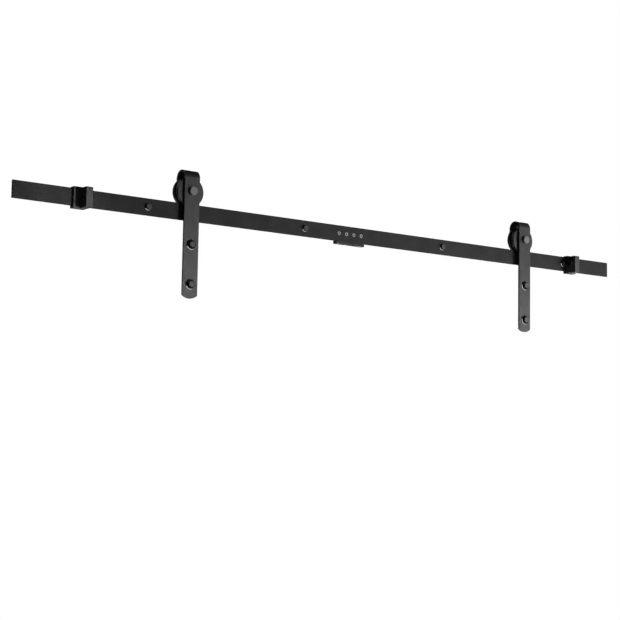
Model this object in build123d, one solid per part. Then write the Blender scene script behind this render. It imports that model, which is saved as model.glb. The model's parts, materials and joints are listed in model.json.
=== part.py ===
from build123d import *
import os

# Sliding barn door hardware: a two-piece flat rail on wall spacers, two J-shaped strap
# hangers on grooved wheels, and two end stops. Millimetres, +Z up, +X along the rail, +Y into
# the wall. The origin is on the wall, at the middle of the row of wall bolts.

# Rail
RAIL_HALF_LENGTH = 915.0
RAIL_HEIGHT = 40.0
RAIL_THICKNESS = 6.0
RAIL_EDGE_RADIUS = 2.0
RAIL_JOINT_GAP = 0.4
RAIL_JOINT_OFFSET = -80.0

# Wall fixings
WALL_BOLT_COUNT = 4
WALL_BOLT_PITCH = 440.0
WALL_BOLT_RADIUS = 4.0
WALL_BOLT_SHANK_RADIUS = 3.6
WALL_BOLT_LENGTH = 90.0
WALL_BOLT_TIP = 8.0
WALL_BOLT_HEAD_FLATS = 13.0
WALL_BOLT_HEAD_HEIGHT = 5.3
WALL_WASHER_RADIUS = 8.0
WALL_WASHER_THICKNESS = 1.6
SPACER_LENGTH = 35.0
SPACER_RADIUS = 10.0
BOLT_HOLE_CLEARANCE = 0.5
SCREW_POINT_RADIUS = 0.5

# Rail joiner
JOINER_LENGTH = 88.0
JOINER_THICKNESS = 6.0
JOINER_LIP = 6.5
JOINER_TOP_CLEARANCE = 1.3
JOINER_SCREW_COUNT = 4
JOINER_SCREW_PITCH = 23.0
JOINER_SCREW_RADIUS = 2.5
JOINER_SCREW_HEAD_RADIUS = 5.0
SCREW_HOLE_CLEARANCE = 0.3

# Strap hangers, placed by the distance of each centre from the rail's ends
LEFT_HANGER_INSET = 442.0
RIGHT_HANGER_INSET = 335.0
STRAP_WIDTH = 40.0
STRAP_THICKNESS = 5.0
STRAP_CROWN_CLEARANCE = 11.2
STRAP_DROP = 182.0
STRAP_END_SAGITTA = 8.0
DOOR_SCREW_SPACING = 92.0
DOOR_SCREW_INSET = 33.0
DOOR_SCREW_RADIUS = 4.0
DOOR_SCREW_SHANK_RADIUS = 3.6
DOOR_SCREW_LENGTH = 30.0
DOOR_SCREW_TIP = 7.0
DOOR_SCREW_HEAD_FLATS = 13.0
DOOR_SCREW_HEAD_HEIGHT = 5.3
DOOR_WASHER_RADIUS = 12.0
DOOR_WASHER_THICKNESS = 2.0

# Wheels and axles
TREAD_RADIUS = 27.0
FLANGE_DEPTH = 8.0
WHEEL_WIDTH = 25.0
WHEEL_SIDE_GAP = 2.0
GROOVE_SIDE_CLEARANCE = 1.0
GROOVE_FLARE = 1.0
ROLLING_GAP = 0.3
BEARING_RADIUS = 16.0
BEARING_WIDTH = 10.0
BEARING_SLEEVE_WALL = 3.0
BEARING_RUNNING_CLEARANCE = 0.08
AXLE_RADIUS = 6.0
AXLE_HOLE_CLEARANCE = 0.1
AXLE_HEAD_RADIUS = 10.0
AXLE_HEAD_HEIGHT = 8.0
AXLE_HEAD_CHAMFER = 0.8
AXLE_END_BEYOND_NUT = 2.0
AXLE_NUT_FLATS = 19.0
AXLE_NUT_HEIGHT = 10.0
AXLE_NUT_COLLAR_HEIGHT = 3.0
AXLE_NUT_COLLAR_WALL = 2.6

# End stops
LEFT_STOP_FROM_BOLT = 160.0
RIGHT_STOP_SPACER_GAP = 1.0
STOP_LENGTH = 32.0
STOP_FRONT_THICKNESS = 6.0
STOP_TOP_LIP = 2.5
STOP_BOTTOM_LIP = 5.0
STOP_BACK_LIP = 3.0
STOP_BACK_LIP_REACH = 8.0
STOP_SLIDE_CLEARANCE = 0.3
STOP_PLATE_THICKNESS = 16.0
STOP_PLATE_REACH = 36.0
STOP_PLATE_TOP_STEP = 2.5
STOP_PLATE_CORNER = 3.0
BUMPER_RADIUS = 10.0
BUMPER_THICKNESS = 7.5
BUMPER_REACH = 19.0
BUMPER_STEM_RADIUS = 4.0
SET_SCREW_RADIUS = 3.0
SET_SCREW_PITCH = 16.0

# Places that follow from the sizes above
rail_back_y = -SPACER_LENGTH
rail_front_y = rail_back_y - RAIL_THICKNESS
rail_middle_y = (rail_front_y + rail_back_y) / 2
rail_top_z = RAIL_HEIGHT / 2
bolt_row_length = WALL_BOLT_PITCH * (WALL_BOLT_COUNT - 1)
rail_left_x = RAIL_JOINT_OFFSET - RAIL_HALF_LENGTH
rail_right_x = RAIL_JOINT_OFFSET + RAIL_HALF_LENGTH
bolt_places = [WALL_BOLT_PITCH * i - bolt_row_length / 2 for i in range(WALL_BOLT_COUNT)]
joiner_screw_places = [
    RAIL_JOINT_OFFSET + JOINER_SCREW_PITCH * (i - (JOINER_SCREW_COUNT - 1) / 2)
    for i in range(JOINER_SCREW_COUNT)
]
axle_z = rail_top_z + TREAD_RADIUS + ROLLING_GAP
wheel_radius = TREAD_RADIUS + FLANGE_DEPTH
crown_radius = WHEEL_WIDTH / 2 + WHEEL_SIDE_GAP
crown_z = axle_z + wheel_radius + STRAP_CROWN_CLEARANCE - crown_radius
strap_inner_front_y = rail_middle_y - crown_radius
strap_front_y = strap_inner_front_y - STRAP_THICKNESS
strap_inner_back_y = rail_middle_y + crown_radius
strap_back_y = strap_inner_back_y + STRAP_THICKNESS
strap_bottom_z = -rail_top_z - STRAP_DROP
door_screw_places = [
    strap_bottom_z + DOOR_SCREW_INSET,
    strap_bottom_z + DOOR_SCREW_INSET + DOOR_SCREW_SPACING,
]


def rod_y(radius, front, back, x=0.0, z=0.0):
    """A round bar along Y between two Y values."""
    return Pos(x, (front + back) / 2, z) * Rot(90, 0, 0) * Cylinder(radius, back - front)


def rod_x(radius, left, right, y, z):
    """A round bar along X between two X values."""
    return Pos((left + right) / 2, y, z) * Rot(0, 90, 0) * Cylinder(radius, right - left)


def block(left, right, front, back, bottom, top):
    """A box between six planes."""
    middle = Pos((left + right) / 2, (front + back) / 2, (bottom + top) / 2)
    return middle * Box(right - left, back - front, top - bottom)


def hexagon_y(flats, front, back, x, z):
    """A hexagonal bar along Y, with a corner at the top."""
    face = Plane((x, back, z), x_dir=(1, 0, 0), z_dir=(0, -1, 0))
    outline = face * RegularPolygon(flats / 2, 6, major_radius=False, rotation=30)
    return extrude(outline, back - front)


def cone_y(front_radius, back_radius, front, back, x, z):
    """A cone along Y, with a radius at each end."""
    middle = Pos(x, (front + back) / 2, z)
    return middle * Rot(90, 0, 0) * Cone(back_radius, front_radius, back - front)


def lag_screw(x, z, head, shank, thread, point):
    """A hex-headed lag screw along +Y. Each stage is its half width and the two Y values it spans."""
    screw = hexagon_y(2 * head[0], head[1], head[2], x, z)
    for radius, front, back in (shank, thread):
        screw += rod_y(radius, front, back, x, z)
    return screw + cone_y(thread[0], *point, x, z)


def wall_bolt(x):
    """A lag screw through the rail and its spacer, threaded from the wall on."""
    seat_y = rail_front_y - WALL_WASHER_THICKNESS
    end = seat_y + WALL_BOLT_LENGTH
    head = (WALL_BOLT_HEAD_FLATS / 2, seat_y - WALL_BOLT_HEAD_HEIGHT, seat_y)
    thread = (WALL_BOLT_RADIUS, 0, end - WALL_BOLT_TIP)
    point = (SCREW_POINT_RADIUS, end - WALL_BOLT_TIP, end)
    return lag_screw(x, 0, head, (WALL_BOLT_SHANK_RADIUS, seat_y, 0), thread, point)


def door_screw(x, z):
    """A lag screw through the strap, threaded from the door's face on."""
    seat_y = strap_front_y - DOOR_WASHER_THICKNESS
    end = seat_y + DOOR_SCREW_LENGTH
    head = (DOOR_SCREW_HEAD_FLATS / 2, seat_y - DOOR_SCREW_HEAD_HEIGHT, seat_y)
    thread = (DOOR_SCREW_RADIUS, strap_inner_front_y, end - DOOR_SCREW_TIP)
    point = (SCREW_POINT_RADIUS, end - DOOR_SCREW_TIP, end)
    return lag_screw(x, z, head, (DOOR_SCREW_SHANK_RADIUS, seat_y, strap_inner_front_y), thread, point)


def washer(x, z, seat_y, radius, thickness, hole_radius):
    """A flat washer in front of seat_y."""
    disc = rod_y(radius, seat_y - thickness, seat_y, x, z)
    return disc - rod_y(hole_radius, seat_y - thickness, seat_y, x, z)


def save(name, *solids):
    """Write one sub-part, a single solid or a group of them."""
    shape = solids[0] if len(solids) == 1 else Compound(children=list(solids))
    export_step(shape, f"parts/{name}.step")


def rail_half(left, right):
    """A round-edged flat bar with the bolt holes and countersunk joiner holes that fall on it."""
    bar = block(left, right, rail_front_y, rail_back_y, -rail_top_z, rail_top_z)
    bar = fillet(bar.edges().filter_by(Axis.X), min(RAIL_EDGE_RADIUS, RAIL_THICKNESS / 3))
    for x in bolt_places:
        if left < x < right:
            bar -= rod_y(WALL_BOLT_RADIUS + BOLT_HOLE_CLEARANCE, rail_front_y, rail_back_y, x)
    for x in joiner_screw_places:
        if left < x < right:
            bar -= rod_y(JOINER_SCREW_RADIUS + SCREW_HOLE_CLEARANCE, rail_front_y, rail_back_y, x)
            bar -= joiner_screw_head(x)
    return bar


def joiner_screw_head(x):
    """The 90 degree countersunk head, flush with the rail's front."""
    depth = JOINER_SCREW_HEAD_RADIUS - JOINER_SCREW_RADIUS
    head_back = rail_front_y + depth
    return cone_y(JOINER_SCREW_HEAD_RADIUS, JOINER_SCREW_RADIUS, rail_front_y, head_back, x, 0)


def joiner_screw(x):
    """A countersunk screw through the rail into the joiner."""
    body = joiner_screw_head(x)
    return body + rod_y(JOINER_SCREW_RADIUS, rail_front_y, rail_back_y + JOINER_THICKNESS, x)


def joiner():
    """An L-shaped bracket behind the joint, with a lip that carries the rail from below."""
    left = RAIL_JOINT_OFFSET - JOINER_LENGTH / 2
    right = RAIL_JOINT_OFFSET + JOINER_LENGTH / 2
    back = rail_back_y + JOINER_THICKNESS
    top = axle_z - wheel_radius - JOINER_TOP_CLEARANCE
    bracket = block(left, right, rail_back_y, back, -rail_top_z, top)
    bracket += block(left, right, rail_front_y, back, -rail_top_z - JOINER_LIP, -rail_top_z)
    for x in joiner_screw_places:
        bracket -= rod_y(JOINER_SCREW_RADIUS, rail_back_y, back, x)
    return bracket


def wall_spacer(x):
    """A tube that holds the rail off the wall."""
    tube = rod_y(SPACER_RADIUS, rail_back_y, 0, x)
    return tube - rod_y(WALL_BOLT_RADIUS + BOLT_HOLE_CLEARANCE, rail_back_y, 0, x)


def strap(x):
    """A flat bar bent into a J over the wheel: a long front leg and a short back leg."""
    half = STRAP_WIDTH / 2
    left_face = Plane((x - half, rail_middle_y, 0), x_dir=(0, 1, 0), z_dir=(1, 0, 0))
    inner = crown_radius
    outer = inner + STRAP_THICKNESS
    back_end_z = axle_z - half
    side = Pos(0, crown_z) * (Circle(outer) - Circle(inner))
    side -= Pos(0, crown_z - outer) * Rectangle(2 * outer, 2 * outer)
    front_leg = crown_z - strap_bottom_z
    back_leg = crown_z - back_end_z
    middle = (inner + outer) / 2
    side += Pos(-middle, crown_z - front_leg / 2) * Rectangle(STRAP_THICKNESS, front_leg)
    side += Pos(middle, crown_z - back_leg / 2) * Rectangle(STRAP_THICKNESS, back_leg)
    bar = extrude(left_face * side, STRAP_WIDTH)
    bar &= strap_front_outline(x) + strap_back_outline(x)
    bar -= rod_y(AXLE_RADIUS + AXLE_HOLE_CLEARANCE, strap_front_y, strap_back_y, x, axle_z)
    for z in door_screw_places:
        bar -= rod_y(DOOR_SCREW_RADIUS + BOLT_HOLE_CLEARANCE, strap_front_y, strap_inner_front_y, x, z)
    return bar


def strap_front_outline(x):
    """The front leg seen from the front, with a shallow arc as its lower end."""
    half = STRAP_WIDTH / 2
    corner_z = strap_bottom_z + STRAP_END_SAGITTA
    top = crown_z + crown_radius + STRAP_THICKNESS
    edge = Polyline((-half, corner_z), (-half, top), (half, top), (half, corner_z))
    end = ThreePointArc((half, corner_z), (0, strap_bottom_z), (-half, corner_z))
    face = Plane((x, rail_middle_y, 0), x_dir=(1, 0, 0), z_dir=(0, -1, 0))
    return extrude(face * make_face(edge + end), rail_middle_y - strap_front_y)


def strap_back_outline(x):
    """The back leg seen from the front, with a round end centred on the axle."""
    half = STRAP_WIDTH / 2
    height = crown_z + crown_radius + STRAP_THICKNESS - axle_z
    outline = Pos(0, axle_z) * Circle(half)
    outline += Pos(0, axle_z + height / 2) * Rectangle(STRAP_WIDTH, height)
    face = Plane((x, strap_back_y, 0), x_dir=(1, 0, 0), z_dir=(0, -1, 0))
    return extrude(face * outline, strap_back_y - rail_middle_y)


def axle_bolt(x):
    """A bolt with a flat round head in front, through both legs of the strap."""
    end = strap_back_y + AXLE_NUT_HEIGHT + AXLE_END_BEYOND_NUT
    head = rod_y(AXLE_HEAD_RADIUS, strap_front_y - AXLE_HEAD_HEIGHT, strap_front_y, x, axle_z)
    head = chamfer(head.edges().group_by(Axis.Y)[0], AXLE_HEAD_CHAMFER)
    return head + rod_y(AXLE_RADIUS, strap_front_y, end, x, axle_z)


def axle_nut(x):
    """The lock nut on the back of the axle bolt, with a round collar behind its hexagon."""
    end = strap_back_y + AXLE_NUT_HEIGHT
    collar_y = end - AXLE_NUT_COLLAR_HEIGHT
    nut = hexagon_y(AXLE_NUT_FLATS, strap_back_y, collar_y, x, axle_z)
    nut += rod_y(AXLE_RADIUS + AXLE_NUT_COLLAR_WALL, collar_y, end, x, axle_z)
    return nut - rod_y(AXLE_RADIUS, strap_back_y, end, x, axle_z)


def bearing_sleeve_radius():
    """Outside radius of the bearing's inner ring."""
    return AXLE_RADIUS + BEARING_SLEEVE_WALL


def bearing_inner_ring(x):
    """The wide inner ring, clamped between the strap's legs by the axle bolt."""
    ring = rod_y(bearing_sleeve_radius(), strap_inner_front_y, strap_inner_back_y, x, axle_z)
    return ring - rod_y(AXLE_RADIUS, strap_inner_front_y, strap_inner_back_y, x, axle_z)


def bearing_outer_ring(x):
    """The sealed outer ring, pressed into the wheel."""
    front = rail_middle_y - BEARING_WIDTH / 2
    back = rail_middle_y + BEARING_WIDTH / 2
    ring = rod_y(BEARING_RADIUS, front, back, x, axle_z)
    return ring - rod_y(bearing_sleeve_radius() + BEARING_RUNNING_CLEARANCE, front, back, x, axle_z)


def wheel(x):
    """A grooved wheel: a flat tread between two flanges whose inner faces flare a little."""
    half = WHEEL_WIDTH / 2
    tread_half = RAIL_THICKNESS / 2 + GROOVE_SIDE_CLEARANCE
    mouth_half = tread_half + GROOVE_FLARE
    outline = Polyline(
        (BEARING_RADIUS, -half),
        (wheel_radius, -half),
        (wheel_radius, -mouth_half),
        (TREAD_RADIUS, -tread_half),
        (TREAD_RADIUS, tread_half),
        (wheel_radius, mouth_half),
        (wheel_radius, half),
        (BEARING_RADIUS, half),
        close=True,
    )
    turned = revolve(make_face(outline), Axis.Y)
    return Pos(x, rail_middle_y, axle_z) * turned


def stop_bracket(inner_x, outward):
    """A clamp round the rail with a plate standing forward at its inner end."""
    gap = STOP_SLIDE_CLEARANCE
    front = rail_front_y - gap - STOP_FRONT_THICKNESS
    back = rail_back_y + gap + STOP_BACK_LIP
    top = rail_top_z + gap + STOP_TOP_LIP
    bottom = -rail_top_z - gap - STOP_BOTTOM_LIP
    left, right = sorted((inner_x, inner_x + outward * STOP_LENGTH))
    body = block(left, right, front, back, bottom, top)
    body -= block(left, right, rail_front_y - gap, rail_back_y + gap, -rail_top_z - gap, rail_top_z + gap)
    mouth = rail_top_z - STOP_BACK_LIP_REACH
    body -= block(left, right, rail_back_y + gap, back, -mouth, mouth)
    left, right = sorted((inner_x, inner_x + outward * STOP_PLATE_THICKNESS))
    plate_top = top - STOP_PLATE_TOP_STEP
    plate = block(left, right, rail_front_y - STOP_PLATE_REACH, front, bottom, plate_top)
    plate = fillet(plate.edges().filter_by(Axis.X).group_by(Axis.Y)[0], STOP_PLATE_CORNER)
    body += plate
    body -= bumper_stem(inner_x, outward)
    for screw in stop_set_screws(inner_x, outward):
        body -= screw
    return body


def bumper_stem(inner_x, outward):
    """The push-in stem that holds the bumper in the plate."""
    left, right = sorted((inner_x, inner_x + outward * STOP_PLATE_THICKNESS))
    return rod_x(BUMPER_STEM_RADIUS, left, right, rail_front_y - BUMPER_REACH, 0)


def bumper(inner_x, outward):
    """A round rubber buffer on the plate's inner face."""
    left, right = sorted((inner_x, inner_x - outward * BUMPER_THICKNESS))
    pad = rod_x(BUMPER_RADIUS, left, right, rail_front_y - BUMPER_REACH, 0)
    return pad + bumper_stem(inner_x, outward)


def stop_set_screws(inner_x, outward):
    """Two grub screws in the lower lip that clamp the stop to the rail."""
    top = -rail_top_z - STOP_SLIDE_CLEARANCE
    middle_x = inner_x + outward * STOP_LENGTH / 2
    middle_z = top - STOP_BOTTOM_LIP / 2
    places = (middle_x - SET_SCREW_PITCH / 2, middle_x + SET_SCREW_PITCH / 2)
    return [Pos(x, rail_middle_y, middle_z) * Cylinder(SET_SCREW_RADIUS, STOP_BOTTOM_LIP) for x in places]


os.makedirs("parts", exist_ok=True)

save("rail_left", rail_half(rail_left_x, RAIL_JOINT_OFFSET - RAIL_JOINT_GAP / 2))
save("rail_right", rail_half(RAIL_JOINT_OFFSET + RAIL_JOINT_GAP / 2, rail_right_x))
save("rail_joiner", joiner())
save("joiner_screws", *[joiner_screw(x) for x in joiner_screw_places])
save("wall_spacers", *[wall_spacer(x) for x in bolt_places])
save("wall_bolts", *[wall_bolt(x) for x in bolt_places])
save("wall_washers", *[
    washer(
        x, 0, rail_front_y, WALL_WASHER_RADIUS, WALL_WASHER_THICKNESS,
        WALL_BOLT_RADIUS + BOLT_HOLE_CLEARANCE,
    )
    for x in bolt_places
])

hangers = {"left": rail_left_x + LEFT_HANGER_INSET, "right": rail_right_x - RIGHT_HANGER_INSET}
for side, x in hangers.items():
    save(f"{side}_strap", strap(x))
    save(f"{side}_axle_bolt", axle_bolt(x))
    save(f"{side}_axle_nut", axle_nut(x))
    save(f"{side}_bearing_inner_ring", bearing_inner_ring(x))
    save(f"{side}_bearing_outer_ring", bearing_outer_ring(x))
    save(f"{side}_wheel", wheel(x))
    save(f"{side}_door_screws", *[door_screw(x, z) for z in door_screw_places])
    save(f"{side}_door_washers", *[
        washer(
            x, z, strap_front_y, DOOR_WASHER_RADIUS, DOOR_WASHER_THICKNESS,
            DOOR_SCREW_RADIUS + BOLT_HOLE_CLEARANCE,
        )
        for z in door_screw_places
    ])

left_stop_x = bolt_places[0] - LEFT_STOP_FROM_BOLT
right_stop_x = bolt_places[-1] + SPACER_RADIUS + RIGHT_STOP_SPACER_GAP
stops = {"left": (left_stop_x, -1), "right": (right_stop_x, 1)}
for side, (inner_x, outward) in stops.items():
    save(f"{side}_stop_bracket", stop_bracket(inner_x, outward))
    save(f"{side}_stop_bumper", bumper(inner_x, outward))
    save(f"{side}_stop_set_screws", *stop_set_screws(inner_x, outward))
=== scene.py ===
import bmesh
import bpy
import json
import math
from mathutils import Matrix, Vector


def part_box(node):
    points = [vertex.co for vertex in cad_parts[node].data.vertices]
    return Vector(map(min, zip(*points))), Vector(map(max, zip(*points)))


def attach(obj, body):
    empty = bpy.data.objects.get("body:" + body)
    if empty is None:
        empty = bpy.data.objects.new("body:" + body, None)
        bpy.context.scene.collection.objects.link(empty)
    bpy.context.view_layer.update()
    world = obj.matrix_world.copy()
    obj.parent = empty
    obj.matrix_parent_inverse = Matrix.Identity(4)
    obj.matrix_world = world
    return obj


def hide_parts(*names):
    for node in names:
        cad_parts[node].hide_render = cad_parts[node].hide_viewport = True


# Looks of the sliding barn door hardware. Metres, in the frame of the solids: +X along the
# rail, +Y into the wall, +Z up.
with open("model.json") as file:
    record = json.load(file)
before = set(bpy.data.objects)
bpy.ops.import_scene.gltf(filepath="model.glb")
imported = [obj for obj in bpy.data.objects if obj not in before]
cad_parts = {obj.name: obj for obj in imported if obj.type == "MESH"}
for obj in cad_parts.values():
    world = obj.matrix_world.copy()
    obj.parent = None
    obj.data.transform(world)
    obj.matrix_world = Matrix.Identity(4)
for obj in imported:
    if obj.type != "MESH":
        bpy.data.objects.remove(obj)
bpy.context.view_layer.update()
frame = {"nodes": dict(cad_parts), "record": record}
mounts = {mount["name"]: mount for mount in frame["record"]["mounts"]}
SIDES = ("left", "right")
MM_PER_METRE = 1000
UNIT_X = Vector((1, 0, 0))
UNIT_Y = Vector((0, 1, 0))
UNIT_Z = Vector((0, 0, 1))

# For each axis, the direction along it and the two across it
AXES = {
    "X": (UNIT_X, UNIT_Y, UNIT_Z),
    "Y": (UNIT_Y, UNIT_X, UNIT_Z),
    "Z": (UNIT_Z, UNIT_X, UNIT_Y),
}

# Camera, fitted to the photo. Angles in radians
CAMERA_PLACE = (-2.447, -3.1257, -0.6353)
CAMERA_YAW = 0.629553
CAMERA_PITCH = 0.11405
CAMERA_ROLL = 0.0172
CAMERA_LENS_MM = 91.94
CAMERA_SENSOR_MM = 36.0
CAMERA_CLIP_END = 100.0

# Round pieces. A rounded corner takes at most a share of the sides next to it
SEGMENTS = 48
BEARING_SEGMENTS = 2 * SEGMENTS
WHEEL_SEGMENTS = 144
CORNER_STEPS = 4
CORNER_MOST_SHARE = 0.45
SMOOTH_ANGLE = math.radians(32)
HEXAGON_SMOOTH_ANGLE = math.radians(24)
MERGE_DISTANCE = 1e-7

# Edges of the flat pieces
RAIL_END_EDGE = 0.0004
PLATE_EDGE = 0.0006
PLATE_EDGE_STEPS = 3
WALL_WASHER_EDGE = 0.0007
DOOR_WASHER_EDGE = 0.0009
WASHER_EDGE_STEPS = 1
WELD_DISTANCE = 1e-6
FLAT_ANGLE = math.radians(0.6)
EDGE_ANGLE = math.radians(38)

# Hexagon heads
HEAD_CHAMFER_SLOPE = math.tan(math.radians(30))
HEAD_FACE_SHARE = 0.47
HEAD_INNER_RING_SHARE = 0.55
HEAD_LOWER_EDGE = 0.0003
HEAD_SIDE_START = 0.001
HEXAGON_FLATS_SHARE = math.cos(math.radians(30))

# Threads and lag screws
THREAD_ROWS_PER_TURN = 14
THREAD_DEPTH_SHARE = 0.24
THREAD_RIDGE_HALF = 0.34
THREAD_LEAST_SHARE = 0.02
WALL_THREAD_PITCH = 0.0036
WALL_THREAD_TIP = 0.009
DOOR_THREAD_PITCH = 0.0042
DOOR_THREAD_TIP = 0.008
LAG_SHANK_SHARE = 0.9
LAG_FILLET_SHARE = 0.12
LAG_FILLET_RADIUS_SHARE = 1.12
LAG_THREAD_GAP = 0.0005

# Axle bolt
AXLE_RADIUS = 0.006
AXLE_FACE_SHARE = 0.6
AXLE_HEAD_ROUNDING = 0.0012
AXLE_HEAD_LOWER_ROUNDING = 0.0004
AXLE_THREAD_PITCH = 0.00175
AXLE_THREAD_GAP = 0.0005
AXLE_END_CHAMFER = 0.0006
AXLE_END_SHARE = 0.82

# Lock nut
NUT_COLLAR_HEIGHT = 0.003
NUT_COLLAR_RADIUS = 0.0086
NUT_RECESS = 0.0012
NUT_ROLL_HEIGHT = 0.0004
NUT_ROLL_INSET = 0.0003
NUT_ROLL_WIDTH = 0.001
NUT_LIP_WIDTH = 0.0014
INSERT_CLEARANCE = 0.0001
INSERT_SINK = 0.0003
INSERT_ROUNDING = 0.0002

# Bearing
SLEEVE_BORE_ROUNDING = 0.0002
SLEEVE_EDGE_ROUNDING = 0.0004
RACE_WIDTH = 0.0026
RACE_BORE_ROUNDING = 0.0003
RACE_EDGE_ROUNDING = 0.0005
SEAL_SINK = 0.0004
SEAL_CLEARANCE = 0.0001
SEAL_LIP = 0.0008
SEAL_BULGE = 0.0002
SEAL_RIM = 0.0012
SEAL_RIM_SINK = 0.0003
SEAL_LIP_ROUNDING = 0.0002
SEAL_RIM_ROUNDING = 0.0004

# Wheel
WHEEL_GROOVE_DEPTH = 0.008
WHEEL_TREAD_HALF = 0.004
WHEEL_MOUTH_HALF = 0.005
WHEEL_BORE_ROUNDING = 0.0006
WHEEL_RIM_ROUNDING = 0.0012
WHEEL_GROOVE_ROUNDING = 0.0009

# Socket screws
SOCKET_EASE = 0.0002
SOCKET_POINT_SHARE = 0.18
JOINER_SCREW_COUNT = 4
JOINER_SHANK_SHARE = 0.5
JOINER_SOCKET_SHARE = 0.64
JOINER_SOCKET_DEPTH = 0.0024
JOINER_SOCKET_PAINT_SHARE = 0.6
JOINER_FACE_INSET = 0.0004
JOINER_EDGE_INSET = 0.0001
JOINER_EDGE_HEIGHT = 0.0003
JOINER_TIP_CHAMFER = 0.0005
SET_SOCKET_FLATS = 0.003
SET_SOCKET_DEPTH = 0.0026
SET_FACE_CHAMFER = 0.0004
SET_TIP_HEIGHT = 0.0006
SET_TIP_INSET = 0.0008

# Bumpers, with heights from the face of the stop
BUMPER_DIMPLE_DEPTH = 0.0006
BUMPER_DIMPLE_SHARE = 0.3
BUMPER_DIMPLE_RIM_SHARE = 0.36
BUMPER_END_SHARE = 0.98
BUMPER_GROOVE_SHARE = 0.94
BUMPER_SHOULDER = 0.0022
BUMPER_GROOVE_TOP = 0.0018
BUMPER_GROOVE_BOTTOM = 0.0012
BUMPER_FOOT = 0.0008
BUMPER_STEM_RADIUS = 0.004
BUMPER_NOSE_ROUNDING = 0.0022
BUMPER_EDGE_ROUNDING = 0.0006
BUMPER_GROOVE_ROUNDING = 0.0004
BUMPER_FOOT_ROUNDING = 0.0003

# Finishes. A scale is the noise cells in a metre, and a grain is a scale and a depth
NOISE_ROUGHNESS = 0.55
NOISE_LOW = 0.3
NOISE_HIGH = 0.7
GRAIN_DETAIL = 2.0
SMUDGE_DETAIL = 3.0
GREY_BLUE_SHARE = 1.04
COAT_CLOUD_SCALE = 22.0
COAT_CLOUD_DETAIL = 5.0
COAT_SMUDGE_SCALE = 65.0
COAT_GRAIN_SHARE = 0.55
COAT_DARK_PLACE = 0.34
COAT_PALE_PLACE = 0.66
COAT_BUMP = 0.6
TURNED_CLOUD_SCALE = 90.0
TURNED_CLOUD_DETAIL = 4.0
TURNED_SMUDGE_SCALE = 240.0
TURNED_GRAIN_SCALE = 1800.0
TURNED_GRAIN_DEPTH = 0.00005
TURNED_GRAIN_BUMP = 0.2
TOOL_MARK_DEPTH = 0.00004
TOOL_MARK_BUMP = 0.25
POWDER_GRAIN = (900.0, 0.0004)
# Grain of the paler strap edges, which carry a painted highlight
HIGHLIGHT_EDGE_GRAIN = (1400.0, 0.00006)
OXIDE_GRAIN = (2600.0, 0.00004)
RUBBER_GRAIN = (2200.0, 0.0001)
NYLON_GRAIN = (1500.0, 0.00004)
BLACK = (0.0, 0.0, 0.0, 1.0)
WHITE = (1.0, 1.0, 1.0, 1.0)

# Floor and flags. A pair is the low and the high end on that axis
FLOOR_Z = -2.0
FLOOR_SPAN = (-20.0, 20.0)
FLOOR_COLOUR = (0.6, 0.6, 0.6, 1.0)
FLOOR_ROUGHNESS = 0.9
FLOOR_LEAST_WHITE = 0.7
FLOOR_FADE_START = 1.2
FLOOR_FADE_END = 2.4
SIDE_FLAG_X = -3.2
SIDE_FLAG_Y = (-3.4, 10.0)
SIDE_FLAG_Z = (-1.9, 3.0)
TOP_FLAG_X = (-3.0, 3.0)
TOP_FLAG_Y = (-4.4, 2.0)
TOP_FLAG_Z = 1.6

# Corners of a rectangle in turn, as the low (0) or the high (1) end on its two axes
RECTANGLE = ((0, 0), (1, 0), (1, 1), (0, 1))

# Ambient light and lamps. A size is a width and a height, powers are in watts, spreads in degrees
AMBIENT_LEVEL = 0.16
AMBIENT_ZENITH = 0.05
KEY_LAMP_PLACE = (1.8, -3.45, -0.9)
KEY_LAMP_TARGET = (0.4, 0.0, -0.9)
KEY_LAMP_SIZE = (2.6, 0.5)
KEY_LAMP_POWER = 27.0
KEY_LAMP_SPREAD = 44.0
SIDE_LAMP_PLACE = (2.1, -1.7, -0.8)
SIDE_LAMP_TARGET = (0.95, 0.0, -0.45)
SIDE_LAMP_SIZE = (1.2, 0.4)
SIDE_LAMP_POWER = 5.0
SIDE_LAMP_SPREAD = 50.0
END_LAMP_PLACE = (0.0, -2.4, -0.5)
END_LAMP_TARGET = (-0.9, 0.0, 0.0)
END_LAMP_SIZE = (0.15, 0.15)
END_LAMP_POWER = 0.06
END_LAMP_SPREAD = 6.0
BACK_LAMP_PLACE = (2.4, 3.0, 0.5)
BACK_LAMP_TARGET = (0.0, 0.0, 0.0)
BACK_LAMP_SIZE = (2.0, 1.6)
BACK_LAMP_POWER = 260.0
BACK_LAMP_SPREAD = 180.0


# Materials
def node_material(name):
    """A new material, its node tree and its Principled shader."""
    material = bpy.data.materials.new(name)
    material.use_nodes = True
    tree = material.node_tree
    return material, tree, tree.nodes["Principled BSDF"]


def add_noise(tree, coordinates, scale, detail):
    """A noise value at the coordinates."""
    noise = tree.nodes.new("ShaderNodeTexNoise")
    noise.inputs["Scale"].default_value = scale
    noise.inputs["Detail"].default_value = detail
    noise.inputs["Roughness"].default_value = NOISE_ROUGHNESS
    tree.links.new(coordinates, noise.inputs["Vector"])
    return noise.outputs["Fac"]


def add_range(tree, value, low, high, from_low=NOISE_LOW, from_high=NOISE_HIGH):
    """Maps a value to a range. The one it comes from is that of a noise unless given."""
    mapped = tree.nodes.new("ShaderNodeMapRange")
    mapped.inputs["From Min"].default_value = from_low
    mapped.inputs["From Max"].default_value = from_high
    mapped.inputs["To Min"].default_value = low
    mapped.inputs["To Max"].default_value = high
    tree.links.new(value, mapped.inputs["Value"])
    return mapped.outputs["Result"]


def add_ramp(tree, value, stops):
    """A colour ramp with two stops."""
    ramp = tree.nodes.new("ShaderNodeValToRGB")
    for index, (place, colour) in enumerate(stops):
        element = ramp.color_ramp.elements[index]
        element.position = place
        element.color = (*colour, 1.0)
    tree.links.new(value, ramp.inputs["Fac"])
    return ramp.outputs["Color"]


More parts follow.
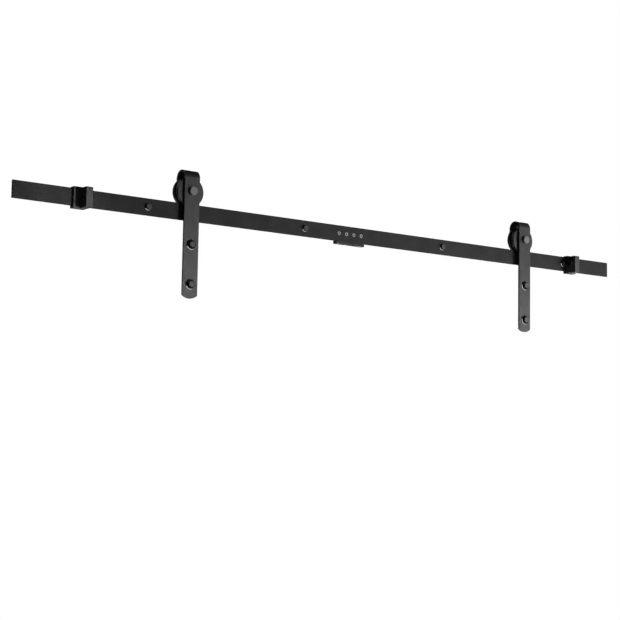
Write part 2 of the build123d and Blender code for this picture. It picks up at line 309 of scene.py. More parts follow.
def add_bump(tree, height, strength, distance, under=None):
    """A bump, on top of the one under it if given."""
    bump = tree.nodes.new("ShaderNodeBump")
    bump.inputs["Strength"].default_value = strength
    bump.inputs["Distance"].default_value = distance
    tree.links.new(height, bump.inputs["Height"])
    if under is not None:
        tree.links.new(under, bump.inputs["Normal"])
    return bump.outputs["Normal"]


def add_share(tree, first, second, share):
    """A mix of two values, with the given share of the second."""
    mix = tree.nodes.new("ShaderNodeMix")
    mix.inputs["Factor"].default_value = share
    tree.links.new(first, mix.inputs["A"])
    tree.links.new(second, mix.inputs["B"])
    return mix.outputs["Result"]


def add_turning(tree, rings):
    """Height of fine concentric tool marks about the Y axis through the middle of the piece."""
    coordinates = tree.nodes.new("ShaderNodeTexCoord")
    mapping = tree.nodes.new("ShaderNodeMapping")
    mapping.inputs["Location"].default_value = (-0.5, 0.0, -0.5)
    tree.links.new(coordinates.outputs["Generated"], mapping.inputs["Vector"])
    flat = tree.nodes.new("ShaderNodeVectorMath")
    flat.operation = "MULTIPLY"
    flat.inputs[1].default_value = (1.0, 0.0, 1.0)
    tree.links.new(mapping.outputs["Vector"], flat.inputs[0])
    length = tree.nodes.new("ShaderNodeVectorMath")
    length.operation = "LENGTH"
    tree.links.new(flat.outputs["Vector"], length.inputs[0])
    wave = tree.nodes.new("ShaderNodeMath")
    wave.operation = "MULTIPLY"
    wave.inputs[1].default_value = rings * 2 * math.pi
    tree.links.new(length.outputs["Value"], wave.inputs[0])
    sine = tree.nodes.new("ShaderNodeMath")
    sine.operation = "SINE"
    tree.links.new(wave.outputs["Value"], sine.inputs[0])
    return sine.outputs["Value"]


def grey(level):
    """A grey with a touch of blue."""
    return (level, level, level * GREY_BLUE_SHARE)


def coat_material(name, tones, roughness, grain, specular):
    """A finish with a fine grain, a cloudy tone and uneven roughness."""
    material, tree, shader = node_material(name)
    coordinates = tree.nodes.new("ShaderNodeTexCoord").outputs["Object"]
    grain_scale, grain_depth = grain
    grains = add_noise(tree, coordinates, grain_scale, GRAIN_DETAIL)
    cloud = add_noise(tree, coordinates, COAT_CLOUD_SCALE, COAT_CLOUD_DETAIL)
    tone = add_share(tree, cloud, grains, COAT_GRAIN_SHARE)
    dark, pale = tones
    stops = ((COAT_DARK_PLACE, grey(dark)), (COAT_PALE_PLACE, grey(pale)))
    tree.links.new(add_ramp(tree, tone, stops), shader.inputs["Base Color"])
    smudge = add_noise(tree, coordinates, COAT_SMUDGE_SCALE, SMUDGE_DETAIL)
    tree.links.new(add_range(tree, smudge, *roughness), shader.inputs["Roughness"])
    tree.links.new(add_bump(tree, grains, COAT_BUMP, grain_depth), shader.inputs["Normal"])
    shader.inputs["Specular IOR Level"].default_value = specular
    return material


def turned_material(name, tones, roughness, metallic, rings, specular):
    """A lathe-turned finish with concentric tool marks."""
    material, tree, shader = node_material(name)
    coordinates = tree.nodes.new("ShaderNodeTexCoord").outputs["Object"]
    cloud = add_noise(tree, coordinates, TURNED_CLOUD_SCALE, TURNED_CLOUD_DETAIL)
    dark, pale = tones
    stops = ((NOISE_LOW, grey(dark)), (NOISE_HIGH, grey(pale)))
    tree.links.new(add_ramp(tree, cloud, stops), shader.inputs["Base Color"])
    smudge = add_noise(tree, coordinates, TURNED_SMUDGE_SCALE, SMUDGE_DETAIL)
    tree.links.new(add_range(tree, smudge, *roughness), shader.inputs["Roughness"])
    marks = add_bump(tree, add_turning(tree, rings), TOOL_MARK_BUMP, TOOL_MARK_DEPTH)
    grains = add_noise(tree, coordinates, TURNED_GRAIN_SCALE, GRAIN_DETAIL)
    normal = add_bump(tree, grains, TURNED_GRAIN_BUMP, TURNED_GRAIN_DEPTH, marks)
    tree.links.new(normal, shader.inputs["Normal"])
    shader.inputs["Metallic"].default_value = metallic
    shader.inputs["Specular IOR Level"].default_value = specular
    return material


powder_coat = coat_material(
    "powder_coat", tones=(0.015, 0.032), roughness=(0.46, 0.6), grain=POWDER_GRAIN, specular=0.07
)
strap_coat = coat_material(
    "strap_coat", tones=(0.017, 0.031), roughness=(0.3, 0.42), grain=POWDER_GRAIN, specular=0.32
)
joiner_coat = coat_material(
    "joiner_coat", tones=(0.026, 0.046), roughness=(0.46, 0.6), grain=POWDER_GRAIN, specular=0.07
)
stop_coat = coat_material(
    "stop_coat", tones=(0.053, 0.091), roughness=(0.5, 0.64), grain=POWDER_GRAIN, specular=0.03
)
# Paler finish for the straps' rounded edges: a painted highlight along them
strap_edge_highlight = coat_material(
    "strap_edge_highlight", tones=(0.09, 0.13), roughness=(0.4, 0.52), grain=HIGHLIGHT_EDGE_GRAIN, specular=0.2
)
black_oxide = coat_material(
    "black_oxide", tones=(0.044, 0.058), roughness=(0.3, 0.44), grain=OXIDE_GRAIN, specular=0.15
)
screw_black = coat_material(
    "screw_black", tones=(0.06, 0.078), roughness=(0.3, 0.44), grain=OXIDE_GRAIN, specular=0.15
)
# Near black that stands for shade: painted shade in socket recesses, on the sides of hex heads and
# along the joiner's rounded edges
painted_shade_black = coat_material(
    "painted_shade_black", tones=(0.004, 0.008), roughness=(0.5, 0.6), grain=OXIDE_GRAIN, specular=0.02
)
rubber = coat_material(
    "moulded_rubber", tones=(0.01, 0.016), roughness=(0.66, 0.8), grain=RUBBER_GRAIN, specular=0.1
)
nylon = coat_material(
    "lock_nylon", tones=(0.3, 0.4), roughness=(0.4, 0.5), grain=NYLON_GRAIN, specular=0.3
)
axle_black = turned_material(
    "turned_black", tones=(0.145, 0.18), roughness=(0.34, 0.44), metallic=0.0, rings=26, specular=0.25
)
wheel_black = turned_material(
    "wheel_black", tones=(0.034, 0.047), roughness=(0.32, 0.44), metallic=0.0, rings=44, specular=0.22
)
zinc = turned_material(
    "bright_zinc", tones=(0.16, 0.24), roughness=(0.28, 0.4), metallic=1.0, rings=8, specular=0.5
)
washer_black = coat_material(
    "washer_black", tones=(0.04, 0.054), roughness=(0.34, 0.46), grain=OXIDE_GRAIN, specular=0.1
)
# Door washers: a black finish made near black, far darker than the wall washers, as painted shade from
# the screw heads
door_washer_shade_black = coat_material(
    "door_washer_shade_black", tones=(0.006, 0.01), roughness=(0.4, 0.5), grain=OXIDE_GRAIN, specular=0.02
)
washer_edge = turned_material(
    "washer_edge", tones=(0.72, 0.86), roughness=(0.12, 0.2), metallic=1.0, rings=10, specular=0.5
)
bearing_steel = turned_material(
    "bearing_steel", tones=(0.5, 0.62), roughness=(0.18, 0.28), metallic=1.0, rings=30, specular=0.5
)


# Mesh helpers
def finish_mesh(name, body, slot, material, points, faces, smooth_angle=SMOOTH_ANGLE):
    """Makes a clean closed mesh object that rides on a body."""
    mesh = bpy.data.meshes.new(name)
    mesh.from_pydata(points, [], faces)
    clean = bmesh.new()
    clean.from_mesh(mesh)
    bmesh.ops.remove_doubles(clean, verts=clean.verts, dist=MERGE_DISTANCE)
    bmesh.ops.dissolve_degenerate(clean, edges=clean.edges, dist=MERGE_DISTANCE)
    bmesh.ops.recalc_face_normals(clean, faces=clean.faces)
    clean.to_mesh(mesh)
    clean.free()
    for face in mesh.polygons:
        face.use_smooth = True
    mesh.set_sharp_from_angle(angle=smooth_angle)
    mesh.materials.append(material)
    piece = bpy.data.objects.new(name, mesh)
    bpy.context.scene.collection.objects.link(piece)
    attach(piece, body)
    return piece


def paint_faces(piece, material, chosen):
    """Gives a second material to the faces whose middle passes a test."""
    piece.data.materials.append(material)
    for face in piece.data.polygons:
        if chosen(face.center):
            face.material_index = 1


def skin_rings(rings, looped=False):
    """Faces between rings of points that follow each other. A ring of one point is a pole."""
    points = [point for ring in rings for point in ring]
    starts = [sum(len(ring) for ring in rings[:i]) for i in range(len(rings))]
    pairs = list(zip(range(len(rings) - 1), range(1, len(rings))))
    if looped:
        pairs.append((len(rings) - 1, 0))
    faces = []
    for a, b in pairs:
        count = max(len(rings[a]), len(rings[b]))
        for i in range(count):
            j = (i + 1) % count
            corners = [starts[a] + i % len(rings[a]), starts[a] + j % len(rings[a])]
            corners += [starts[b] + j % len(rings[b]), starts[b] + i % len(rings[b])]
            faces.append(list(dict.fromkeys(corners)))
    return points, faces


def join_shells(shells):
    """One list of points and faces from several."""
    points = []
    faces = []
    for shell_points, shell_faces in shells:
        faces += [[index + len(points) for index in face] for face in shell_faces]
        points += shell_points
    return points, faces


def round_corners(outline, looped=False):
    """Replaces each corner (radius, height, rounding) of a lathe outline by a short curve."""
    rounded = []
    last = len(outline) - 1
    for i, (radius, height, size) in enumerate(outline):
        if size == 0 or (not looped and i in (0, last)):
            rounded.append((radius, height))
            continue
        corner = Vector((radius, height))
        before = Vector(outline[i - 1][:2]) - corner
        after = Vector(outline[(i + 1) % len(outline)][:2]) - corner
        start = corner + before.normalized() * min(size, before.length * CORNER_MOST_SHARE)
        end = corner + after.normalized() * min(size, after.length * CORNER_MOST_SHARE)
        for step in range(CORNER_STEPS + 1):
            t = step / CORNER_STEPS
            rounded.append(tuple(start * (1 - t) ** 2 + corner * 2 * t * (1 - t) + end * t * t))
    return rounded


def mirrored(half_outline):
    """A lathe outline and its mirror image on the other side of the middle plane."""
    return half_outline + [(radius, -height, size) for radius, height, size in reversed(half_outline)]


def constant(value):
    """A function of the angle that gives one value all round."""
    def value_at(angle):
        return value

    return value_at


def ring_about(axis, centre, height_at, radius_at, segments=SEGMENTS):
    """A ring of points about an axis through a centre, with a height and a radius for each angle."""
    along, across, up = AXES[axis]
    ring = []
    for i in range(segments):
        angle = 2 * math.pi * i / segments
        spread = across * math.cos(angle) + up * math.sin(angle)
        ring.append(tuple(Vector(centre) + along * height_at(angle) + spread * radius_at(angle)))
    return ring


def circle(axis, centre, height, radius, segments=SEGMENTS):
    """A round ring, or one point where the radius is 0."""
    count = segments if radius else 1
    return ring_about(axis, centre, constant(height), constant(radius), count)


def lathe_rings(axis, centre, outline, segments=SEGMENTS, looped=False):
    """Rings of an outline of (radius, height, rounding) corners turned about an axis."""
    corners = round_corners(outline, looped)
    return [circle(axis, centre, height, radius, segments) for radius, height in corners]


def lathe(axis, centre, outline, segments=SEGMENTS, looped=False):
    """Points and faces of a turned outline."""
    return skin_rings(lathe_rings(axis, centre, outline, segments, looped), looped)


def hexagon_radius(flats):
    """Gives the distance to the side of a hexagon for an angle, with a corner at the top."""
    def side_at(angle):
        from_flat = (angle + math.pi / 6) % (math.pi / 3) - math.pi / 6
        return flats / 2 / math.cos(from_flat)

    return side_at


def head_chamfer(flats, top, way):
    """Gives the height of a hexagon's turned chamfer for an angle, from its top face."""
    side_at = hexagon_radius(flats)

    def height_at(angle):
        return top + way * (side_at(angle) - flats * HEAD_FACE_SHARE) * HEAD_CHAMFER_SLOPE

    return height_at


def hex_head_rings(centre, flats, top, bottom):
    """Rings of a hexagon head along Y from its top to its underside, with a chamfer on top."""
    side_at = hexagon_radius(flats)
    face_radius = flats * HEAD_FACE_SHARE

    def inset_at(angle):
        return side_at(angle) - HEAD_LOWER_EDGE

    return [
        circle("Y", centre, top, 0),
        circle("Y", centre, top, face_radius * HEAD_INNER_RING_SHARE),
        circle("Y", centre, top, face_radius),
        ring_about("Y", centre, head_chamfer(flats, top, 1), side_at),
        ring_about("Y", centre, constant(bottom - HEAD_LOWER_EDGE), side_at),
        ring_about("Y", centre, constant(bottom), inset_at),
    ]


def thread_rings(centre, start, end, radius, pitch, tip=0.0):
    """Rings of a thread along Y from start to end, tapering to a point over the tip length."""
    rows = max(2, int((end - start) / pitch * THREAD_ROWS_PER_TURN))
    rings = []
    for row in range(rows):
        height = start + (end - start) * row / rows
        taper = min(1.0, (end - height) / tip) if tip else 1.0
        depth = radius * THREAD_DEPTH_SHARE * min(1.0, (height - start) / pitch)

        def radius_at(angle):
            turn = (height / pitch + angle / (2 * math.pi)) % 1.0
            ridge = max(0.0, 1.0 - abs(turn - 0.5) / THREAD_RIDGE_HALF)
            threaded = radius * taper - depth * (1.0 - ridge) * taper
            return max(threaded, radius * THREAD_LEAST_SHARE)

        rings.append(ring_about("Y", centre, constant(height), radius_at))
    return rings


# Flat and bent plates keep their solids, with rounded edges
def dress_node(node, material, edge, edge_material=None, steps=PLATE_EDGE_STEPS):
    """Gives a solid a finish, another one on its edges if given, and rounds those edges."""
    piece = frame["nodes"][node]
    mesh = piece.data
    mesh.materials.clear()
    mesh.materials.append(material)
    mesh.materials.append(edge_material or material)
    normals = mesh.attributes.get("custom_normal")
    if normals is not None:
        mesh.attributes.remove(normals)
    for face in mesh.polygons:
        face.use_smooth = True
    weld = piece.modifiers.new("weld", "WELD")
    weld.merge_threshold = WELD_DISTANCE
    flat = piece.modifiers.new("flat_faces", "DECIMATE")
    flat.decimate_type = "DISSOLVE"
    flat.angle_limit = FLAT_ANGLE
    rounding = piece.modifiers.new("rounded_edges", "BEVEL")
    rounding.width = edge
    rounding.segments = steps
    rounding.limit_method = "ANGLE"
    rounding.angle_limit = EDGE_ANGLE
    rounding.harden_normals = True
    rounding.material = 1
    shading = piece.modifiers.new("even_shading", "WEIGHTED_NORMAL")
    shading.keep_sharp = True


for node in ("rail_left", "rail_right"):
    dress_node(node, powder_coat, RAIL_END_EDGE)
# The joiner's rounded edges are painted near black: a painted shade line along them
dress_node("rail_joiner", joiner_coat, PLATE_EDGE, painted_shade_black)
dress_node("wall_spacers", powder_coat, PLATE_EDGE)
dress_node("wall_washers", washer_black, WALL_WASHER_EDGE, washer_edge, WASHER_EDGE_STEPS)
for side in SIDES:
    # The straps' rounded edges take the paler finish, a painted highlight
    dress_node(f"{side}_strap", strap_coat, PLATE_EDGE, strap_edge_highlight)
    dress_node(
        f"{side}_door_washers", door_washer_shade_black, DOOR_WASHER_EDGE, washer_edge, WASHER_EDGE_STEPS
    )
    dress_node(f"{side}_stop_bracket", stop_coat, PLATE_EDGE)


# Lag screws
def lag_screw_shell(x, z, low, high, flats, seat, thread_start, radius, pitch, tip):
    """A hex head, plain shank and coarse pointed thread along +Y."""
    centre = (x, 0.0, z)
    shank = radius * LAG_SHANK_SHARE
    rings = hex_head_rings(centre, flats, low, seat)
    rings.append(circle("Y", centre, seat, shank * LAG_FILLET_RADIUS_SHARE))
    rings.append(circle("Y", centre, seat + shank * LAG_FILLET_SHARE, shank))
    rings.append(circle("Y", centre, thread_start - LAG_THREAD_GAP, shank))
    rings += thread_rings(centre, thread_start, high, radius, pitch, tip)
    rings.append(circle("Y", centre, high, 0))
    return skin_rings(rings)


def paint_head_side_shade(screws, top, seat):
    """The sides of the hex heads are painted a deeper black than their faces, as painted shade."""
    def on_head_side(place):
        return top + HEAD_SIDE_START < place.y < seat

    paint_faces(screws, painted_shade_black, on_head_side)


def wall_bolt_places():
    """X of each wall bolt, from the two wall mounts."""
    places = []
    for name in ("wall_bolts_inner", "wall_bolts_outer"):
        middle = mounts[name]["pos_m"][0]
        half = mounts[name]["dims"]["spacing_x_mm"] / MM_PER_METRE / 2
        places += [middle - half, middle + half]
    return sorted(places)


def make_wall_bolts():
    """The four lag screws that hold the rail, threaded past the wall plane."""
    mount = mounts["wall_bolts_inner"]
    low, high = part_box("wall_bolts")
    radius = mount["dims"]["stud_r_mm"] / MM_PER_METRE
    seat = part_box("wall_washers")[0].y
    flats = (high.z - low.z) * HEXAGON_FLATS_SHARE
    wall_plane = mount["pos_m"][1]
    shells = [
        lag_screw_shell(
            x, 0.0, low.y, high.y, flats, seat, wall_plane, radius, WALL_THREAD_PITCH, WALL_THREAD_TIP
        )
        for x in wall_bolt_places()
    ]
    bolts = finish_mesh(
        "wall_lag_screws", "rail", "black_fastener", black_oxide,
        *join_shells(shells), HEXAGON_SMOOTH_ANGLE,
    )
    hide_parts("wall_bolts")
    paint_head_side_shade(bolts, low.y, seat)


def make_door_screws(side):
    """The two lag screws of a hanger, threaded past the face of the door."""
    mount = mounts[f"{side}_door_screws"]
    low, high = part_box(f"{side}_door_screws")
    x, door_plane, z = mount["pos_m"]
    half = mount["dims"]["spacing_y_mm"] / MM_PER_METRE / 2
    radius = mount["dims"]["stud_r_mm"] / MM_PER_METRE
    flats = high.x - low.x
    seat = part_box(f"{side}_door_washers")[0].y
    shells = [
        lag_screw_shell(
            x, place, low.y, high.y, flats, seat, door_plane, radius, DOOR_THREAD_PITCH, DOOR_THREAD_TIP
        )
        for place in (z - half, z + half)
    ]
    screws = finish_mesh(
        f"{side}_door_lag_screws", f"{side}_hanger", "black_fastener", screw_black,
        *join_shells(shells), HEXAGON_SMOOTH_ANGLE,
    )
    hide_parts(f"{side}_door_screws")
    paint_head_side_shade(screws, low.y, seat)


make_wall_bolts()
for side in SIDES:
    make_door_screws(side)


# Axles, nuts, bearings and wheels. Heights along Y are from the middle of the wheel
def axle_centre(side):
    """A point on the axle, in the middle of the wheel."""
    low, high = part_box(f"{side}_wheel")
    return (low + high) / 2


def radius_of(node):
    """Radius of a round node whose axis is along Y."""
    low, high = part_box(node)
    return (high.x - low.x) / 2


def half_depth_of(node):
    """Half of a node's size along Y."""
    low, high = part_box(node)
    return (high.y - low.y) / 2


def make_axle_bolt(side):
    """A flat round head with a soft edge, a plain shank and a threaded end."""
    centre = axle_centre(side)
    low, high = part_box(f"{side}_axle_bolt")
    head_radius = radius_of(f"{side}_axle_bolt")
    head = low.y - centre.y
    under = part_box(f"{side}_strap")[0].y - centre.y
    thread_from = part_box(f"{side}_axle_nut")[0].y - centre.y
    end = high.y - centre.y
    outline = [
        (0.0, head, 0),
        (head_radius * AXLE_FACE_SHARE, head, 0),
        (head_radius, head, AXLE_HEAD_ROUNDING),
        (head_radius, under, AXLE_HEAD_LOWER_ROUNDING),
        (AXLE_RADIUS, under, 0),
        (AXLE_RADIUS, thread_from, 0),
    ]
    rings = lathe_rings("Y", centre, outline)
    rings += thread_rings(
        centre, thread_from + AXLE_THREAD_GAP, end - AXLE_END_CHAMFER, AXLE_RADIUS, AXLE_THREAD_PITCH
    )
    rings.append(circle("Y", centre, end, AXLE_RADIUS * AXLE_END_SHARE))
    rings.append(circle("Y", centre, end, 0))
    bolt = finish_mesh(
        f"{side}_axle", f"{side}_hanger", "black_fastener", axle_black, *skin_rings(rings)
    )
    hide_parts(f"{side}_axle_bolt")


def make_lock_nut(side):
    """A chamfered hexagon, a rolled collar and its nylon insert."""
    centre = axle_centre(side)
    low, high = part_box(f"{side}_axle_nut")
    flats = high.x - low.x
    face_radius = flats * HEAD_FACE_SHARE
    side_at = hexagon_radius(flats)
    face = low.y - centre.y
    back = high.y - centre.y
    shoulder = back - NUT_COLLAR_HEIGHT
    recess = back - NUT_RECESS
    lip = NUT_COLLAR_RADIUS - NUT_LIP_WIDTH
    rings = [
        circle("Y", centre, face, AXLE_RADIUS),
        circle("Y", centre, face, face_radius),
        ring_about("Y", centre, head_chamfer(flats, face, 1), side_at),
        ring_about("Y", centre, head_chamfer(flats, shoulder, -1), side_at),
        circle("Y", centre, shoulder, face_radius),
        circle("Y", centre, shoulder, NUT_COLLAR_RADIUS),
        circle("Y", centre, recess, NUT_COLLAR_RADIUS),
        circle("Y", centre, back - NUT_ROLL_HEIGHT, NUT_COLLAR_RADIUS - NUT_ROLL_INSET),
        circle("Y", centre, back, NUT_COLLAR_RADIUS - NUT_ROLL_WIDTH),
        circle("Y", centre, back, lip),
        circle("Y", centre, recess, lip),
        circle("Y", centre, recess, AXLE_RADIUS),
    ]
    nut = finish_mesh(
        f"{side}_lock_nut", f"{side}_hanger", "black_fastener", black_oxide,
        *skin_rings(rings, looped=True), HEXAGON_SMOOTH_ANGLE,
    )
    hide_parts(f"{side}_axle_nut")
    insert_bore = AXLE_RADIUS + INSERT_CLEARANCE
    insert_radius = lip - INSERT_CLEARANCE
    insert_top = back - INSERT_SINK
    insert_outline = [
        (insert_bore, recess, 0),
        (insert_radius, recess, 0),
        (insert_radius, insert_top, INSERT_ROUNDING),
        (insert_bore, insert_top, INSERT_ROUNDING),
    ]
    finish_mesh(
        f"{side}_nut_insert", f"{side}_hanger", "black_fastener", nylon,
        *lathe("Y", centre, insert_outline, looped=True),
    )


def make_bearing(side):
    """An inner ring on the axle, and the outer ring and seals in the wheel."""
    centre = axle_centre(side)
    sleeve_radius = radius_of(f"{side}_bearing_inner_ring")
    half = half_depth_of(f"{side}_bearing_inner_ring")
    sleeve_outline = mirrored([
        (AXLE_RADIUS, -half, SLEEVE_BORE_ROUNDING),
        (sleeve_radius, -half, SLEEVE_EDGE_ROUNDING),
    ])
    inner = finish_mesh(
        f"{side}_bearing_sleeve", f"{side}_hanger", "bearing_steel", bearing_steel,
        *lathe("Y", centre, sleeve_outline, looped=True),
    )
    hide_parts(f"{side}_bearing_inner_ring")
    outer_radius = radius_of(f"{side}_bearing_outer_ring")
    half = half_depth_of(f"{side}_bearing_outer_ring")
    race = outer_radius - RACE_WIDTH
    race_outline = mirrored([
        (race, -half, RACE_BORE_ROUNDING),
        (outer_radius, -half, RACE_EDGE_ROUNDING),
    ])
    outer = finish_mesh(
        f"{side}_bearing_race", f"{side}_roller", "bearing_steel", bearing_steel,
        *lathe("Y", centre, race_outline, BEARING_SEGMENTS, looped=True),
    )
    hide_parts(f"{side}_bearing_outer_ring")
    seal_half = half - SEAL_SINK
    seal_inner = sleeve_radius + SEAL_CLEARANCE
    seal_outline = mirrored([
        (seal_inner, -seal_half, SEAL_LIP_ROUNDING),
        (seal_inner + SEAL_LIP, -seal_half - SEAL_BULGE, SEAL_LIP_ROUNDING),
        (race - SEAL_RIM, -seal_half - SEAL_BULGE, SEAL_RIM_ROUNDING),
        (race, -seal_half + SEAL_RIM_SINK, 0),
    ])
    finish_mesh(
        f"{side}_bearing_seals", f"{side}_roller", "bearing_steel", rubber,
        *lathe("Y", centre, seal_outline, BEARING_SEGMENTS, looped=True),
    )


def make_wheel(side):
    """A bored hub, two flanges with soft rims and a flat tread."""
    rim = radius_of(f"{side}_wheel")
    half = half_depth_of(f"{side}_wheel")
    outline = mirrored([
        (radius_of(f"{side}_bearing_outer_ring"), half, WHEEL_BORE_ROUNDING),
        (rim, half, WHEEL_RIM_ROUNDING),
        (rim, WHEEL_MOUTH_HALF, WHEEL_GROOVE_ROUNDING),
        (rim - WHEEL_GROOVE_DEPTH, WHEEL_TREAD_HALF, WHEEL_GROOVE_ROUNDING),
    ])
    wheel = finish_mesh(
        f"{side}_grooved_wheel", f"{side}_roller", "wheel_black", wheel_black,
        *lathe("Y", axle_centre(side), outline, WHEEL_SEGMENTS, looped=True),
    )
    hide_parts(f"{side}_wheel")


for side in SIDES:
    make_axle_bolt(side)
    make_lock_nut(side)
    make_bearing(side)
    make_wheel(side)


# Socket screws
def socket_rings(axis, centre, face, floor, flats):
    """Rings of a hexagon socket from the point of its floor to its mouth."""
    side_at = hexagon_radius(flats)

    def eased_at(angle):
        return side_at(angle) + SOCKET_EASE

    return [
        circle(axis, centre, floor + flats * SOCKET_POINT_SHARE, 0),
        ring_about(axis, centre, constant(floor), side_at),
        ring_about(axis, centre, constant(face + SOCKET_EASE), side_at),
        ring_about(axis, centre, constant(face), eased_at),
    ]


def make_joiner_screws():
    """Flush countersunk screws, with the inside of their sockets painted black as painted shade."""
    low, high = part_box("joiner_screws")
    middle_z = (low.z + high.z) / 2
    head_radius = (high.z - low.z) / 2
    pitch = (high.x - low.x - 2 * head_radius) / (JOINER_SCREW_COUNT - 1)
    shank = head_radius * JOINER_SHANK_SHARE
    socket_flats = head_radius * JOINER_SOCKET_SHARE
    places = [low.x + head_radius + pitch * i for i in range(JOINER_SCREW_COUNT)]
    shells = []
    for x in places:
        centre = (x, 0.0, middle_z)
        rings = socket_rings("Y", centre, low.y, low.y + JOINER_SOCKET_DEPTH, socket_flats)
        rings.append(circle("Y", centre, low.y, head_radius - JOINER_FACE_INSET))
        rings.append(circle("Y", centre, low.y + JOINER_EDGE_HEIGHT, head_radius - JOINER_EDGE_INSET))
        rings.append(circle("Y", centre, low.y + head_radius - shank, shank))
        rings.append(circle("Y", centre, high.y - JOINER_TIP_CHAMFER, shank))
        rings.append(circle("Y", centre, high.y, shank - JOINER_TIP_CHAMFER))
        rings.append(circle("Y", centre, high.y, 0))
        shells.append(skin_rings(rings))
    screws = finish_mesh("joiner_socket_screws", "rail", "bright_zinc", zinc, *join_shells(shells))
    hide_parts("joiner_screws")

    def in_socket(place):
        away = min(math.hypot(place.x - x, place.z - middle_z) for x in places)
        deep = SOCKET_EASE < place.y - low.y < 2 * JOINER_SOCKET_DEPTH
        return deep and away < socket_flats * JOINER_SOCKET_PAINT_SHARE

    # Painted shade inside the sockets
    paint_faces(screws, painted_shade_black, in_socket)


def make_set_screws(side):
    """Two headless screws in the underside of a stop."""
    low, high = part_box(f"{side}_stop_set_screws")
    radius = (high.y - low.y) / 2
    shells = []
    for x in (low.x + radius, high.x - radius):
        centre = (x, (low.y + high.y) / 2, 0.0)
        rings = socket_rings("Z", centre, low.z, low.z + SET_SOCKET_DEPTH, SET_SOCKET_FLATS)
        rings.append(circle("Z", centre, low.z, radius - SET_FACE_CHAMFER))
        rings.append(circle("Z", centre, low.z + SET_FACE_CHAMFER, radius))
        rings.append(circle("Z", centre, high.z - SET_TIP_HEIGHT, radius))
        rings.append(circle("Z", centre, high.z, radius - SET_TIP_INSET))
        rings.append(circle("Z", centre, high.z, 0))
        shells.append(skin_rings(rings))
    screws = finish_mesh(
        f"{side}_stop_grub_screws", f"{side}_stop", "black_fastener", black_oxide,
        *join_shells(shells),
    )
    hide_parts(f"{side}_stop_set_screws")


def make_bumper(side):
    """A dimpled rubber pad with a groove, and its stem in the stop."""
    low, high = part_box(f"{side}_stop_bumper")
    bracket_low, bracket_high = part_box(f"{side}_stop_bracket")
    inward = 1 if side == "left" else -1
    centre = (low + high) / 2
    radius = (high.z - low.z) / 2
    tip = (high.x if inward > 0 else low.x) - centre.x
    base = (bracket_high.x if inward > 0 else bracket_low.x) - centre.x
    stem_end = (low.x if inward > 0 else high.x) - centre.x
    dimple = tip - inward * BUMPER_DIMPLE_DEPTH
    groove_radius = radius * BUMPER_GROOVE_SHARE
    outline = [
        (0.0, dimple, 0),
        (radius * BUMPER_DIMPLE_SHARE, dimple, BUMPER_GROOVE_ROUNDING),
        (radius * BUMPER_DIMPLE_RIM_SHARE, tip, BUMPER_GROOVE_ROUNDING),
        (radius * BUMPER_END_SHARE, tip, BUMPER_NOSE_ROUNDING),
        (radius, base + inward * BUMPER_SHOULDER, BUMPER_EDGE_ROUNDING),
        (groove_radius, base + inward * BUMPER_GROOVE_TOP, BUMPER_GROOVE_ROUNDING),
        (groove_radius, base + inward * BUMPER_GROOVE_BOTTOM, BUMPER_GROOVE_ROUNDING),
        (radius, base + inward * BUMPER_FOOT, BUMPER_FOOT_ROUNDING),
        (radius * BUMPER_END_SHARE, base, BUMPER_FOOT_ROUNDING),
        (BUMPER_STEM_RADIUS, base, 0),
        (BUMPER_STEM_RADIUS, stem_end, BUMPER_EDGE_ROUNDING),
        (0.0, stem_end, 0),
    ]
    pad = finish_mesh(
        f"{side}_rubber_bumper", f"{side}_stop", "black_rubber", rubber, *lathe("X", centre, outline)
    )
    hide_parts(f"{side}_stop_bumper")


make_joiner_screws()
for side in SIDES:
    make_set_screws(side)
    make_bumper(side)


# Stage
def seen_rays(tree):
    """1 for rays of the camera, of gloss and of glass, and 0 for the rest."""
    path = tree.nodes.new("ShaderNodeLightPath")
    total = path.outputs["Is Camera Ray"]
    for name in ("Is Glossy Ray", "Is Transmission Ray"):
        either = tree.nodes.new("ShaderNodeMath")
        either.operation = "MAXIMUM"
        tree.links.new(total, either.inputs[0])
        tree.links.new(path.outputs[name], either.inputs[1])
        total = either.outputs["Value"]
    return total


def floor_material():
    """A pale floor that fades to plain white away from the object, for what the camera sees."""
    material, tree, shader = node_material("pale_floor")
    shader.inputs["Base Color"].default_value = FLOOR_COLOUR
    shader.inputs["Roughness"].default_value = FLOOR_ROUGHNESS
    coordinates = tree.nodes.new("ShaderNodeTexCoord")
    distance = tree.nodes.new("ShaderNodeVectorMath")
    distance.operation = "LENGTH"
    tree.links.new(coordinates.outputs["Object"], distance.inputs[0])
    away = distance.outputs["Value"]
    fade = add_range(tree, away, FLOOR_LEAST_WHITE, 1.0, FLOOR_FADE_START, FLOOR_FADE_END)
    white = tree.nodes.new("ShaderNodeEmission")
    mix = tree.nodes.new("ShaderNodeMixShader")
    share = tree.nodes.new("ShaderNodeMath")
    share.operation = "MULTIPLY"
    tree.links.new(fade, share.inputs[0])
    tree.links.new(seen_rays(tree), share.inputs[1])
    tree.links.new(share.outputs["Value"], mix.inputs["Fac"])
    tree.links.new(shader.outputs["BSDF"], mix.inputs[1])
    tree.links.new(white.outputs["Emission"], mix.inputs[2])
    tree.links.new(mix.outputs["Shader"], tree.nodes["Material Output"].inputs["Surface"])
    return material


def make_plane(name, corners, material):
    """A four-cornered stage piece."""
    mesh = bpy.data.meshes.new(name)
    mesh.from_pydata(corners, [], [(0, 1, 2, 3)])
    mesh.materials.append(material)
    plane = bpy.data.objects.new(name, mesh)
    bpy.context.scene.collection.objects.link(plane)
    return plane


